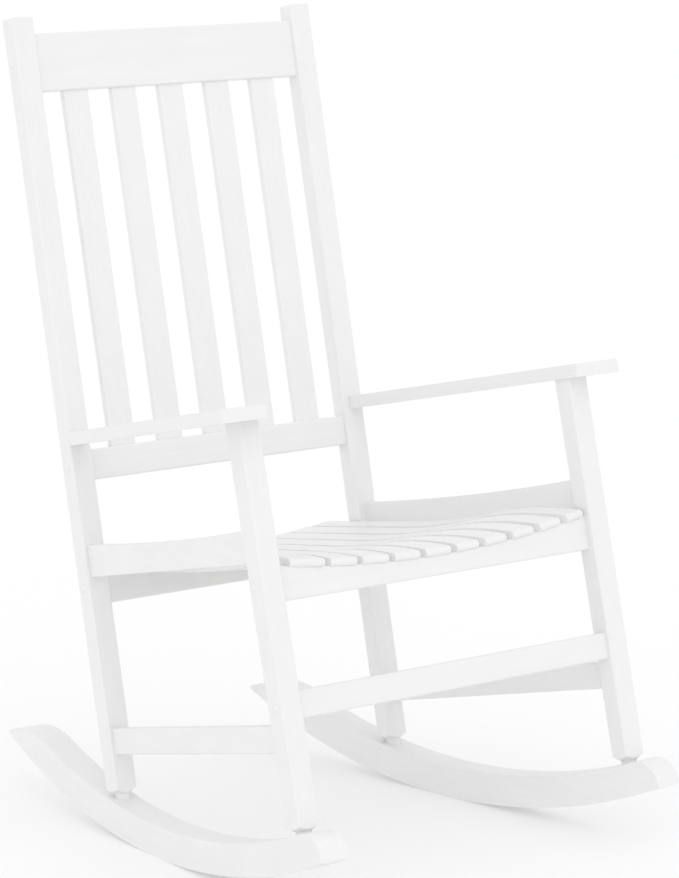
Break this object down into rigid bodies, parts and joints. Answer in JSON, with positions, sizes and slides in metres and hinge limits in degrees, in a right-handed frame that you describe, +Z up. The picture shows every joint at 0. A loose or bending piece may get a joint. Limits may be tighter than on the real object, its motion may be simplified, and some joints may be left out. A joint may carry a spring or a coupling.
{
  "type": "rocking chair",
  "caption": "High-backed slatted wooden porch rocking chair with flat arms, a dished slat seat and bent rockers.",
  "frame": {"origin": "on the floor, under the middle of the chair, where the rockers' rolling edges touch it at rest", "axes": "+Z up, the chair faces -Y, and +X is to the right for someone who stands in front and looks at it"},
  "size_m": [0.7108, 0.8436, 1.1552],
  "materials": {
    "frame_paint": "satin white paint on hardwood",
    "slat_paint": "satin white paint on hardwood",
    "plug_paint": "satin white paint on turned wood",
    "zinc_screw": "bright zinc plate",
    "beech_dowel": "bare beech"
  },
  "bodies": {
    "root": {"left_post": "frame_paint", "right_post": "frame_paint", "left_front_leg": "frame_paint", "right_front_leg": "frame_paint", "crest_rail": "frame_paint", "lower_back_rail": "frame_paint", "back_slat_1": "slat_paint", "back_slat_2": "slat_paint", "back_slat_3": "slat_paint", "back_slat_4": "slat_paint", "back_slat_5": "slat_paint", "rear_seat_rail": "frame_paint", "front_seat_rail": "frame_paint", "left_side_rail": "frame_paint", "right_side_rail": "frame_paint", "seat_slat_1": "slat_paint", "seat_slat_2": "slat_paint", "seat_slat_3": "slat_paint", "seat_slat_4": "slat_paint", "seat_slat_5": "slat_paint", "seat_slat_6": "slat_paint", "seat_slat_7": "slat_paint", "seat_slat_8": "slat_paint", "seat_slat_9": "slat_paint", "seat_slat_10": "slat_paint", "left_arm": "frame_paint", "right_arm": "frame_paint", "front_stretcher": "frame_paint", "left_side_stretcher": "frame_paint", "right_side_stretcher": "frame_paint", "left_rocker": "frame_paint", "right_rocker": "frame_paint", "post_screws": "zinc_screw", "leg_screws": "zinc_screw", "button_plugs": "plug_paint", "rocker_screws": "zinc_screw", "seat_slat_brads": "zinc_screw", "side_rail_dowels": "beech_dowel", "side_stretcher_dowels": "beech_dowel", "arm_dowels": "beech_dowel"}
  },
  "joints": []
}
